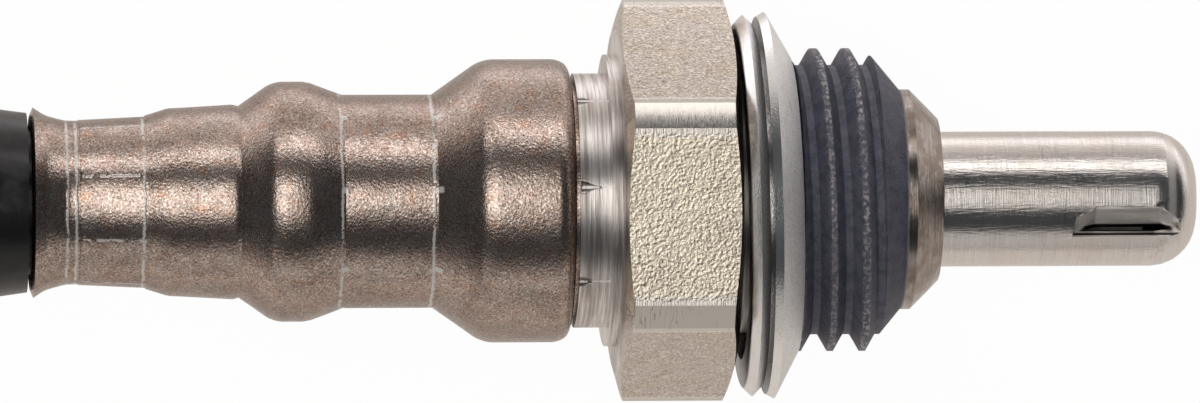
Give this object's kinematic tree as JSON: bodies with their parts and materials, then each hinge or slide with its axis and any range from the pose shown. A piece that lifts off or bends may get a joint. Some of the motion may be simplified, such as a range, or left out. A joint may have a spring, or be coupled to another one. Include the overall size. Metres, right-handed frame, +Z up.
{
  "type": "oxygen sensor",
  "caption": "Planar exhaust oxygen sensor: threaded hexagon shell with captive crush gasket, louvred protection tube, crimped sleeve and a rubber lead seal with empty lead bores",
  "frame": {"origin": "on the sensor's axis, in the plane of the hexagon's seat face", "axes": "X along the sensor's axis from the lead end to the sensing tip, Z up, square to the flat it lies on, Y across"},
  "size_m": [0.0476, 0.0156, 0.015],
  "materials": {
    "shell_steel": "turned and plated steel, satin",
    "gasket_steel": "cold-rolled sheet, satin",
    "tube_steel": "deep-drawn stainless sheet, bright satin",
    "sleeve_steel": "stainless sheet, fine matt blasted",
    "inner_steel": "spring steel, plain",
    "strip_ceramic": "co-fired ceramic, matt",
    "bush_ceramic": "unglazed ceramic, matt",
    "talc": "pressed powder, matt",
    "seal_rubber": "moulded rubber, dull"
  },
  "bodies": {
    "root": {"hex_shell": "shell_steel", "sealing_gasket": "gasket_steel", "protection_tube": "tube_steel", "sensing_element": "strip_ceramic", "seat_washer": "inner_steel", "lower_insulator": "bush_ceramic", "talc_packing": "talc", "upper_insulator": "bush_ceramic", "press_ring": "inner_steel", "outer_sleeve": "sleeve_steel", "spring_washer": "inner_steel", "contact_holder_upper": "bush_ceramic", "contact_holder_lower": "bush_ceramic", "holder_clamp_ring": "inner_steel", "signal_contact": "inner_steel", "ground_contact": "inner_steel", "heater_contact_a": "inner_steel", "heater_contact_b": "inner_steel", "wire_guide": "bush_ceramic", "lead_grommet": "seal_rubber"}
  },
  "joints": []
}
